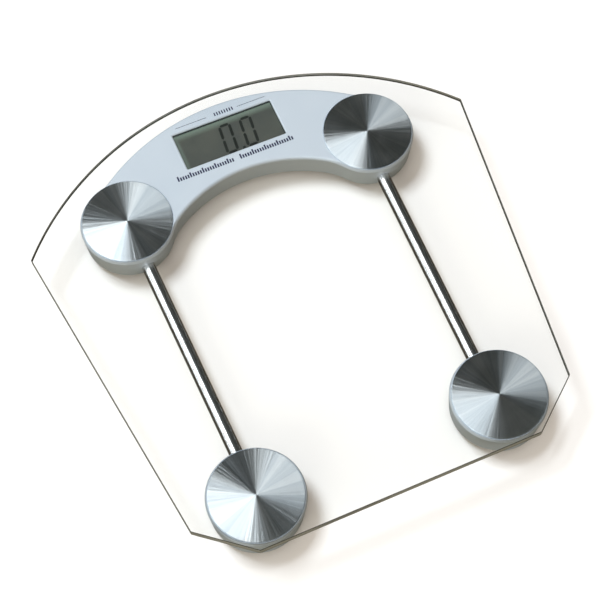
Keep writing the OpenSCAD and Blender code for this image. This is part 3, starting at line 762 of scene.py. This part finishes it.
def housing_outline():
    """Plan of the display housing's top edge, anticlockwise: points, outward normals, and how much
    each point belongs to the arch (1) and not to a pod (0)."""
    a, f = ARCH_CENTRE, np.array(POD["front_right"])
    inner = crossing(a, ARCH_INNER_R - INNER_FILLET_R, f, POD_R + INNER_FILLET_R)
    outer = crossing(a, ARCH_OUTER_R + OUTER_FILLET_R, f, POD_R + OUTER_FILLET_R)
    inner_dir, outer_dir = angle_of(inner - a), angle_of(outer - a)
    # centre, radius, start and end angle, whether the outline bulges there, share of arch at both ends
    chain = (
        (a, ARCH_INNER_R, 90, inner_dir, False, 1, 1, 0.7),
        (inner, INNER_FILLET_R, inner_dir, angle_of(f - inner), False, 1, 0, 1.5),
        (f, POD_R, angle_of(inner - f) - 360, angle_of(outer - f), True, 0, 0, 1.5),
        (outer, OUTER_FILLET_R, angle_of(f - outer), angle_of(a - outer), False, 0, 1, 3),
        (a, ARCH_OUTER_R, outer_dir, 90, True, 1, 1, 0.45),
    )
    points, normals, share = [], [], []
    for centre, radius, start, end, bulges, share0, share1, step in chain:
        if bulges:
            while end < start:
                end += 360
            while end - start > 360:
                end -= 360
        elif end > start:
            end -= 360
        p = arc(centre, radius, start, end, step)
        n = (p - centre) / radius * (1 if bulges else -1)
        first = 0 if not points else 1
        points.append(p[first:])
        normals.append(n[first:])
        t = np.linspace(0, 1, len(p))[first:]
        share.append(share0 + (share1 - share0) * t * t * (3 - 2 * t))
    p, n, s = np.concatenate(points), np.concatenate(normals), np.concatenate(share)
    flip = np.array([-1, 1])
    back = slice(-2, 0, -1)
    return (np.concatenate([p, p[back] * flip]), np.concatenate([n, n[back] * flip]),
            np.concatenate([s, s[back]]))


def pod_outline(centre, steps=240):
    angles = np.arange(steps) * 2 * math.pi / steps
    n = np.c_[np.cos(angles), np.sin(angles)]
    return np.array(centre) + POD_R * n, n, np.zeros(steps)


def case_skin(points, normals, share, shoulder_steps=8):
    """Solid of a case's outer form: rounded lower edge, shoulder bevelled at the pods and round along
    the arch."""
    rings = []
    for t in np.linspace(0, 1, 4):
        a = t * math.pi / 2
        z = CASE_BOTTOM + BOTTOM_ROUND * (1 - math.cos(a))
        inset = lean(z) + BOTTOM_ROUND * (1 - math.sin(a))
        rings.append(at_height(points - inset * normals, z))
    width, depth = (pod + (arch - pod) * share for pod, arch in zip(SHOULDER_POD, SHOULDER_ARCH))
    wall = DRAFT * depth / (CASE_TOP - CASE_BOTTOM)
    for t in np.linspace(0, 1, shoulder_steps + 1):
        a = t * math.pi / 2
        inset = wall + (width - wall) * (t + share * (1 - math.cos(a) - t))
        z = CASE_TOP - depth * (1 - t - share * (math.sin(a) - t))
        rings.append(np.c_[points - inset[:, None] * normals, z])
    return loft(rings)


def case_cavity(points, normals):
    return loft([at_height(points - (lean(CASE_BOTTOM) + WALL) * normals, CASE_BOTTOM - OVER),
                 at_height(points - (lean(CASE_BOTTOM) + WALL) * normals, CASE_BOTTOM),
                 at_height(points - (lean(CEILING) + WALL) * normals, CEILING)])


def disc_recess(centre):
    """Recess for a disc, with its lip broken, and the hole for the disc's boss."""
    r, lip = DISC_R + DISC_PLAY, 0.16
    return [lathe([(0, DISC_SEAT), (r, DISC_SEAT), (r, CASE_TOP - lip), (r + lip, CASE_TOP),
                   (r + lip + OVER, CASE_TOP + OVER), (0, CASE_TOP + OVER)], 240, centre),
            cylinder(centre, BOSS_R + BOSS_PLAY, DISC_BOTTOM - OVER, DISC_SEAT + 0.1, 72)]


def tube_axis(side):
    """Front point of a tube's axis and its direction towards the rear, in plan."""
    front, rear = np.array(POD["front_right"]), np.array(POD["rear_right"])
    way = (rear - front) / np.linalg.norm(rear - front)
    start = front - np.array([TUBE_INSET, 0])
    flip = np.array([side, 1])
    return start * flip, way * flip, np.linalg.norm(rear - front)


def along_tube(side, parts):
    """Turns (vertices, faces) drawn about z onto a tube's axis: z = 0 is level with the front pod."""
    start, way, _ = tube_axis(side)
    across = np.array([way[1], -way[0], 0])
    up = np.array([0, 0, 1.0])
    ahead = np.array([*way, 0])
    verts, faces = parts
    origin = np.array([*start, TUBE_Z])
    return origin + verts[:, :1] * across + verts[:, 1:2] * up + verts[:, 2:] * ahead, faces


def pod_screw_places(centre, angles, side=1):
    return [(centre[0] + side * SCREW_REACH * math.cos(math.radians(a)),
             centre[1] + SCREW_REACH * math.sin(math.radians(a))) for a in angles]


def housing_screw_places():
    places = []
    for side_name, side in SIDES.items():
        places += pod_screw_places(POD[f"front_{side_name}"], FRONT_SCREW_ANGLES, side)
        places.append((side * ARCH_SCREW[0], ARCH_SCREW[1]))
    return places


def window_cutter():
    low, high = LENS_LOW[:2] - WINDOW_PLAY, LENS_HIGH[:2] + WINDOW_PLAY

    def ring(grow, z):
        return at_height(rounded_rectangle(low - grow, high + grow, WINDOW_CORNER + grow), z)

    return loft([ring(0, CEILING - OVER), ring(0, CASE_TOP - WINDOW_CHAMFER_DEPTH),
                 ring(WINDOW_CHAMFER, CASE_TOP), ring(WINDOW_CHAMFER, CASE_TOP + OVER)])


def posts(spots, low, bore_top):
    """Screw posts from the roof down to a height, and their bores."""
    return ([cylinder(s, POST_R, low, INTO_ROOF, 32) for s in spots],
            [cylinder(s, POST_BORE_R, low - OVER, bore_top, 24) for s in spots])


def pod_fittings(side, centre, near, far, reach):
    """Boss sleeve and tube socket of a pod, and its cuts for the disc and the tube: the socket runs
    from near to far along the tube, and the tube's bore between the two ends of reach."""
    socket = along_tube(side, cylinder((0, 0), SOCKET_R, near, far))
    bore = along_tube(side, cylinder((0, 0), TUBE_R + SOCKET_PLAY, *reach, 64))
    return ([cylinder(centre, SLEEVE_R, DISC_BOTTOM, INTO_ROOF, 72), socket],
            disc_recess(centre) + [bore])


def make_case(name, outline, solids, cuts, node):
    case = new_object(name, *case_skin(*outline), FINISH["lacquer"])
    tidy_normals(case)
    carve(case, [case_cavity(*outline[:2])], "DIFFERENCE")
    carve(case, solids, "UNION")
    carve(case, cuts, "DIFFERENCE")
    smooth(case, 32)
    place(case, "scale_body", "case_plastic", node)


def make_housing():
    solids, cuts = [], [window_cutter()]
    fittings = []
    for side_name, side in SIDES.items():
        fittings.append(pod_fittings(side, POD[f"front_{side_name}"], SOCKET_START, SOCKET_END,
                                     (SOCKET_START - OVER, POD_R + OVER)))
        for x, y in BOARD_POSTS:
            fittings.append(posts([(side * x, y)], BOARD_TOP, BOARD_BORE_TOP))
    fittings.append(posts(housing_screw_places(), POST_BOTTOM, POST_BORE_TOP))
    for more_solids, more_cuts in fittings:
        solids += more_solids
        cuts += more_cuts
    low, high = box_mm("battery_door")
    cuts.append(slab((low[0] - DOOR_PLAY, high[1] - DOOR_GAP[0], CASE_BOTTOM - OVER),
                     (high[0] + DOOR_PLAY, high[1] + DOOR_GAP[1], high[2] + DOOR_PLAY)))
    make_case("housing_shell", housing_outline(), solids, cuts, "display_housing")


def make_rear_pods():
    for side_name, side in SIDES.items():
        centre = POD[f"rear_{side_name}"]
        run = tube_axis(side)[2]
        solids, cuts = pod_fittings(side, centre, run - SOCKET_END, run - SOCKET_START,
                                    (run - POD_R - OVER, run - SOCKET_START + OVER))
        spots = pod_screw_places(centre, REAR_SCREW_ANGLES, side)
        post_solids, post_cuts = posts(spots, POST_BOTTOM, POST_BORE_TOP)
        make_case(f"pod_shell_{side_name}", pod_outline(centre), solids + post_solids,
                  cuts + post_cuts, f"rear_pod_{side_name}")


def make_tubes():
    inner, edge = TUBE_R - TUBE_WALL, 0.15
    for side_name, side in SIDES.items():
        end = tube_axis(side)[2] - TUBE_START
        profile = [(inner + edge, TUBE_START), (TUBE_R - edge, TUBE_START),
                   (TUBE_R, TUBE_START + edge), (TUBE_R, end - edge), (TUBE_R - edge, end),
                   (inner + edge, end), (inner, end - edge), (inner, TUBE_START + edge)]
        make_piece(f"chrome_tube_{side_name}", along_tube(side, lathe(profile, 96, closed=True)),
                   FINISH["tube"], "bright_tube", f"tube_{side_name}")


# ---------- display ----------

DIGIT_H = 23
DIGIT_W = 7.6
DIGIT_PITCH = 16.0
DIGIT_X = -6.2  # left strokes of the first digit, at its foot
DIGIT_Y = 116.6
DIGIT_SLANT = 0.095
STROKE = 2.1
STROKE_GAP = 0.35
DECIMAL_POINT = (6.4, 0.2)
DECIMAL_POINT_R = 1.1
RECESS_SHADE_W = (1.0, 0.8, 0.8, 0.3)  # painted shade of the window's recess: width of the dark line round the crystal at the far, right, near and left side
LCD_GAP = 0.1  # the crystal's face stays this far under the window
INK_T = 0.02


def prism(points, z0, z1):
    """Upright prism on an anticlockwise outline."""
    return loft([at_height(points, z0), at_height(points, z1)])


def rectangle(x0, x1, y0, y1):
    return np.array([(x0, y0), (x1, y0), (x1, y1), (x0, y1)])


def stroke(start, end):
    """Pointed bar of a seven-segment digit."""
    start, end = np.array(start, float), np.array(end, float)
    way = (end - start) / np.linalg.norm(end - start)
    side = np.array([-way[1], way[0]]) * STROKE / 2
    start, end = start + way * STROKE_GAP, end - way * STROKE_GAP
    tip = way * STROKE / 2
    return np.array([start, start + tip - side, end - tip - side, end, end - tip + side,
                     start + tip + side])


def zero_digit(x0):
    """The six outer bars of a nought."""
    x1, mid = x0 + DIGIT_W, DIGIT_H / 2
    ends = (((x0, 0), (x1, 0)), ((x0, DIGIT_H), (x1, DIGIT_H)),
            ((x0, 0), (x0, mid)), ((x0, mid), (x0, DIGIT_H)),
            ((x1, 0), (x1, mid)), ((x1, mid), (x1, DIGIT_H)))
    return [stroke(*e) for e in ends]


def make_display():
    top = LCD_HIGH[2] - LCD_GAP
    make_piece("crystal_cell", slab(LCD_LOW, (*LCD_HIGH[:2], top)), FINISH["crystal"], "display_crystal",
               "display_glass")
    bars = zero_digit(DIGIT_X) + zero_digit(DIGIT_X + DIGIT_PITCH)
    bars.append(arc(DECIMAL_POINT, DECIMAL_POINT_R, 0, 350, 18))
    shapes = []
    for bar in bars:
        bar = np.c_[bar[:, 0] + DIGIT_SLANT * bar[:, 1], bar[:, 1] + DIGIT_Y]
        shapes.append(prism(bar, top, top + INK_T))
    make_piece("crystal_digits", joined(shapes), FINISH["segment"], "display_crystal", angle=None)
    # Painted shade: a frame of thin dark bars on the crystal stands for the shade of the window's recess
    low, high = LENS_LOW[:2] - WINDOW_PLAY, LENS_HIGH[:2] + WINDOW_PLAY
    bars = []
    for x0, x1, y0, y1 in ((low[0], high[0], high[1] - RECESS_SHADE_W[0], high[1]),
                           (high[0] - RECESS_SHADE_W[1], high[0], low[1] + RECESS_SHADE_W[2], high[1] - RECESS_SHADE_W[0]),
                           (low[0], high[0], low[1], low[1] + RECESS_SHADE_W[2]),
                           (low[0], low[0] + RECESS_SHADE_W[3], low[1] + RECESS_SHADE_W[2], high[1] - RECESS_SHADE_W[0])):
        bars.append(prism(rectangle(x0, x1, y0, y1), top, top + INK_T))
    make_piece("crystal_recess_shade", joined(bars), FINISH["mask"], "display_crystal", angle=None)
    make_piece("window_lens", slab(LENS_LOW + (0, 0, 0.02), LENS_HIGH, WINDOW_CORNER - 0.1, 0.15),
               FINISH["lens"], "window_acrylic", "display_window")


TICK_W = 1.2
TICK_PITCH = 1.9
TICKS_LEFT = (-48, -5)
TICKS_RIGHT = (0, 40)
TICK_BASE_Y = 107.6
TICK_H = 2.9
LONG_TICK_H = 4.2  # every fifth
HAIRLINES = ((-34, -10), (14, 36))
HAIRLINE_T = 0.35
HAIRLINE_GAP = 4.2  # from the window
DASHES = 8  # short marks between the hairlines
DASH_X = -3.8
DASH_PITCH = 1.95
DASH_W = 0.9
DASH_SPAN = (-1.2, 1.7)  # low and high end, from the hairlines


def make_print():
    """Plain graduations below the window, and above it two hairlines with short marks between them."""
    bars = []
    for start, end in (TICKS_LEFT, TICKS_RIGHT):
        for i, x in enumerate(np.arange(start, end, TICK_PITCH)):
            height = TICK_H if i % 5 else LONG_TICK_H
            bars.append(rectangle(x, x + TICK_W, TICK_BASE_Y, TICK_BASE_Y + height))
    y = LENS_HIGH[1] + HAIRLINE_GAP
    bars += [rectangle(x0, x1, y, y + HAIRLINE_T) for x0, x1 in HAIRLINES]
    for i in range(DASHES):
        x = DASH_X + i * DASH_PITCH
        bars.append(rectangle(x, x + DASH_W, y + DASH_SPAN[0], y + DASH_SPAN[1]))
    shapes = [prism(bar, CASE_TOP - 0.01, CASE_TOP + INK_T) for bar in bars]
    make_piece("printed_marks", joined(shapes), FINISH["ink"], "case_plastic", angle=None)


# ---------- feet ----------

FLANGE_TOP = 4.2
STEM_R = 6
STEM_TOP = 7.2
STEM_SHOULDER_R = 7
RIB_W = 1.35  # ribs moulded round the pad's face
RIB_H = 0.45
RIB_PITCH = 2.4


def make_feet():
    for corner in CORNERS:
        body = f"foot_unit_{corner}"
        low, high = box_mm(f"foot_{corner}")
        pad_low, pad_high = box_mm(f"foot_pad_{corner}")
        flange, stem, shoulder, top = (high - low)[0] / 2, STEM_R, STEM_SHOULDER_R, FLANGE_TOP
        pad_r = (pad_high - pad_low)[0] / 2
        profile = [(0, pad_high[2]), (pad_r + 0.1, pad_high[2]), (pad_r + 0.1, low[2] + 0.15),
                   (pad_r + 0.25, low[2]), (flange - 0.5, low[2]), (flange - 0.12, low[2] + 0.14),
                   (flange, low[2] + 0.5), (flange, top - 0.6), (flange - 0.2, top - 0.15),
                   (flange - 0.7, top), (stem + 0.6, top), (stem + 0.15, top + 0.15),
                   (stem, top + 0.6), (stem, STEM_TOP), (shoulder, STEM_TOP + 0.05),
                   (shoulder, high[2] - 0.2),
                   (shoulder - 0.2, high[2]), (0, high[2])]
        make_piece(f"foot_plunger_{corner}", lathe(profile, 120, POD[corner]), FINISH["foot"],
                   "foot_plastic", f"foot_{corner}", body=body, angle=40)
        ribs = []
        for r in np.arange(2.0, pad_r - 2.2, RIB_PITCH):
            ribs += [(r, 0), (r + 0.35, RIB_H), (r + RIB_W - 0.35, RIB_H), (r + RIB_W, 0)]
        pad_profile = ([(0, 0)] + ribs + [(pad_r - 0.6, 0), (pad_r - 0.17, 0.17), (pad_r, 0.6),
                       (pad_r, pad_high[2] - 0.05), (pad_r - 0.05, pad_high[2] - 0.02),
                       (0, pad_high[2] - 0.02)])
        make_piece(f"rubber_pad_{corner}", lathe(pad_profile, 120, POD[corner]), FINISH["pad"],
                   "foot_rubber", f"foot_pad_{corner}", body=body, angle=40)


# ---------- screws ----------

SCREW_HEAD_R = 2.6
SCREW_HEAD_LOW = 5.4
SCREW_HEAD_TOP = 7
SCREW_R = 1.25
SCREW_TIP = 16
THREAD_PITCH = 0.9
CROSS_L = 3.0
CROSS_W = 0.75
CROSS_D = 1.0
FIRST_TURN = 23  # degrees: how the first screw's cross stands, and each next one further on
NEXT_TURN = 67


def screw_shape():
    """Pan-head screw, head down, with a threaded shank, about z."""
    head = [(0, SCREW_HEAD_LOW), (1.3, SCREW_HEAD_LOW + 0.05), (2.0, SCREW_HEAD_LOW + 0.25),
            (2.45, SCREW_HEAD_LOW + 0.65), (SCREW_HEAD_R, SCREW_HEAD_LOW + 1.1),
            (SCREW_HEAD_R, SCREW_HEAD_TOP - 0.1), (SCREW_HEAD_R - 0.1, SCREW_HEAD_TOP)]
    shank = [(SCREW_R - 0.2, SCREW_HEAD_TOP)]
    z = SCREW_HEAD_TOP + 0.5
    while z < SCREW_TIP - 1.5:
        shank += [(SCREW_R - 0.25, z), (SCREW_R, z + THREAD_PITCH * 0.4), (SCREW_R, z + THREAD_PITCH * 0.5)]
        z += THREAD_PITCH
    shank += [(SCREW_R - 0.25, z), (0, SCREW_TIP)]
    return head + shank


def turn_about_z(degrees):
    """Matrix that turns row vectors by an angle about z."""
    c, s = math.cos(math.radians(degrees)), math.sin(math.radians(degrees))
    return np.array([[c, s, 0], [-s, c, 0], [0, 0, 1]])


def make_screws():
    body = new_object("screw_pattern", *lathe(screw_shape(), 40), FINISH["screw"])
    tidy_normals(body)
    cross = []
    for turn in (0, 90):
        rings = []
        for length, width, z in ((CROSS_L + 0.3, CROSS_W + 0.1, SCREW_HEAD_LOW - OVER),
                                 (CROSS_L, CROSS_W, SCREW_HEAD_LOW + 0.1),
                                 (CROSS_L * 0.35, CROSS_W * 0.7, SCREW_HEAD_LOW + CROSS_D)):
            flat = np.array([(-length, -width), (length, -width), (length, width), (-length, width)]) / 2
            rings.append(at_height(flat, z) @ turn_about_z(turn))
        cross.append(loft(rings))
    carve(body, cross, "DIFFERENCE")
    verts = np.array([v.co for v in body.data.vertices]) / MM
    faces = [list(p.vertices) for p in body.data.polygons]
    bpy.data.objects.remove(body)
    sets = {"housing": housing_screw_places(),
            "rear_base": [s for side_name, side in SIDES.items()
                          for s in pod_screw_places(POD[f"rear_{side_name}"], REAR_SCREW_ANGLES, side)]}
    for name, places in sets.items():
        copies = []
        for i, (x, y) in enumerate(places):
            copies.append((verts @ turn_about_z(FIRST_TURN + NEXT_TURN * i) + (x, y, 0), faces))
        obj = new_object(f"{name}_screw_set", *joined(copies), FINISH["screw"])
        smooth(obj, 30)
        place(obj, "scale_body", "screw_steel", f"{name}_screws")


# ---------- CAD nodes that stay ----------

KEPT = {
    "base": ["housing_base", "rear_base_left", "rear_base_right", "battery_door"],
    "carrier": [f"cell_carrier_{c}" for c in CORNERS],
    "cell": [f"load_cell_{c}" for c in CORNERS],
    "silicone": ["gauge_patches"],
    "screw": ["disc_screws", "board_screws"],
    "frame": ["display_frame"],
    "zebra": ["connector_strip"],
    "board": ["circuit_board"],
    "resin": ["controller_blob"],
    "capacitor": ["board_capacitors"],
    "can": ["tap_sensor", "unit_switch_body"],
    "knob": ["unit_switch_knob"],
    "coin": ["coin_cell"],
    "spring": ["centre_contact", "rim_contact"],
    "sleeve": ["front_lead_left", "front_lead_right", "rear_lead_left", "rear_lead_right"],
}


def finish_kept_nodes():
    for finish, names in KEPT.items():
        for name in names:
            obj = frame["nodes"][name]
            for slot in obj.material_slots:
                slot.link = "OBJECT"
                slot.material = FINISH[finish]


# ---------- stage ----------

FLOOR_HALF = 4.0
FLOOR_TONE = (0.94, 0.94, 0.935, 1)
FLOOR_BOUNCE = (0.27, 0.22, 0.11, 1)  # what the floor sends onto the model
FLOOR_MIRRORED = (0.06, 0.048, 0.034, 1)  # what bright metal shows of the floor
AMBIENT = (0.56, 0.49, 0.43, 1)  # what the room sends onto matt surfaces
ROOM_MIRRORED = (0.047, 0.048, 0.044, 1)  # what bright metal shows of it
WALLS_MIRRORED = (0.74, 0.74, 0.72, 1)  # what sharp reflections, as in the glass, show near the horizon
WALLS_TOP = (0.45, 0.72)  # sines of the elevations where those walls start to fade, and end
BACKDROP = (1, 1, 0.995, 1)
DEEP = 0.5  # a ray that has met such a surface counts 1, and one that has not counts 0


def path_kind(tree):
    """Sockets that are 1 once a ray has left a matt surface, and a bright one."""
    path = add_node(tree, "ShaderNodeLightPath")
    return [add_node(tree, "ShaderNodeMath", {"operation": "GREATER_THAN"}, i0=path.outputs[depth],
                     i1=DEEP).outputs[0] for depth in ("Diffuse Depth", "Glossy Depth")]


def make_stage():
    n = Nodes("pale_floor", Roughness=0.9, Specular_IOR_Level=0.1)
    cloud = n.noise(0.8, 2, seed=20)
    n.colour(cloud, 0.3, 0.7, FLOOR_TONE, scaled(FLOOR_TONE, 1.01))
    matt, bright = path_kind(n.tree)
    shader = n.shader.outputs[0]
    for kind, tone in ((bright, FLOOR_MIRRORED), (matt, FLOOR_BOUNCE)):
        other = n.add("ShaderNodeBsdfDiffuse", Color=tone).outputs[0]
        shader = n.add("ShaderNodeMixShader", Fac=kind, i1=shader, i2=other).outputs[0]
    n.link(shader, n.out.inputs["Surface"])
    side = FLOOR_HALF / MM
    floor = new_object("floor", [(-side, -side, 0), (side, -side, 0), (side, side, 0), (-side, side, 0)],
                       [[0, 1, 2, 3]], n.material)


def all_but(name, pieces):
    """Collection of what a lamp lights: everything but the pieces named."""
    if name not in bpy.data.collections:
        group = bpy.data.collections.new(name)
        for i, piece in enumerate(pieces):
            group.objects.link(bpy.data.objects[piece])
            group.collection_objects[i].light_linking.link_state = "EXCLUDE"
    return bpy.data.collections[name]


def soft_box(name, bearing, elevation, distance, width, height, power, colour, kind):
    """Area lamp that faces the model, with its distance and size in metres. Its bearing runs
    anticlockwise from +X. Its kind is the rays that don't see it, and a group and its spared pieces."""
    data = bpy.data.lights.new(name, "AREA")
    data.shape = "RECTANGLE"
    data.size, data.size_y = width, height
    data.energy = power
    data.color = colour
    lamp = bpy.data.objects.new(name, data)
    bpy.context.scene.collection.objects.link(lamp)
    unseen_by, group, spared = kind
    for ray in ("visible_camera", unseen_by):
        setattr(lamp, ray, False)
    lamp.light_linking.receiver_collection = all_but(group, spared)
    target = Vector((0, 0, 0.02))
    aim(lamp, target + distance * direction(bearing + 90, elevation), target)


def make_lights():
    # Lamps that only draw sheen spare the panes, so that no glare hides what these cover, and lamps
    # that only light matt surfaces spare the bare metal
    metal_pieces = [f"spun_disc_{c}" for c in CORNERS] + [f"chrome_tube_{s}" for s in SIDES]
    sheen = ("visible_diffuse", "no_glare", ("platform_glass", "window_lens"))
    body = ("visible_glossy", "no_metal", metal_pieces)
    soft_box("window_left", 178, 60, 1.54, 2.34, 0.98, 31.5, (0.94, 0.98, 1.0), sheen)
    soft_box("window_low", 184, 20, 1.45, 2.4, 0.42, 8, (0.97, 0.99, 1.0), sheen)
    soft_box("key", 124, 61, 4.2, 1.5, 1.5, 140, (0.87, 0.94, 1.0), body)
    soft_box("fill", 215, 27, 3.2, 2.4, 1.4, 31, (1.0, 0.98, 0.86), body)
    world = bpy.data.worlds.new("studio")
    world.use_nodes = True
    world.cycles.sampling_method = "NONE"  # only bounced rays find the room: its tones go by their kind
    bpy.context.scene.world = world
    tree = world.node_tree
    tree.nodes.clear()
    matt, bright = path_kind(tree)
    place_xyz = add_node(tree, "ShaderNodeSeparateXYZ",
                         i0=add_node(tree, "ShaderNodeTexCoord").outputs["Generated"])
    walls = add_node(tree, "ShaderNodeMapRange", Value=place_xyz.outputs["Z"], From_Min=WALLS_TOP[0],
                     From_Max=WALLS_TOP[1], To_Min=1, To_Max=0).outputs[0]
    path = add_node(tree, "ShaderNodeLightPath")
    sharp = add_node(tree, "ShaderNodeMath", {"operation": "MULTIPLY"},
                     i0=path.outputs["Is Singular Ray"], i1=walls).outputs[0]
    shader = add_node(tree, "ShaderNodeBackground", Color=BACKDROP).outputs[0]
    for kind, look in ((bright, ROOM_MIRRORED), (sharp, WALLS_MIRRORED), (matt, AMBIENT)):
        other = add_node(tree, "ShaderNodeBackground", Color=look).outputs[0]
        shader = add_node(tree, "ShaderNodeMixShader", i0=kind, i1=shader, i2=other).outputs[0]
    add_node(tree, "ShaderNodeOutputWorld", Surface=shader)
    view = bpy.context.scene.view_settings
    view.view_transform = "Standard"
    view.look = "None"
    view.exposure = 0
    view.gamma = 1


make_glass()
make_discs()
make_housing()
make_rear_pods()
make_tubes()
make_display()
make_print()
make_feet()
make_screws()
finish_kept_nodes()
make_stage()
make_lights()
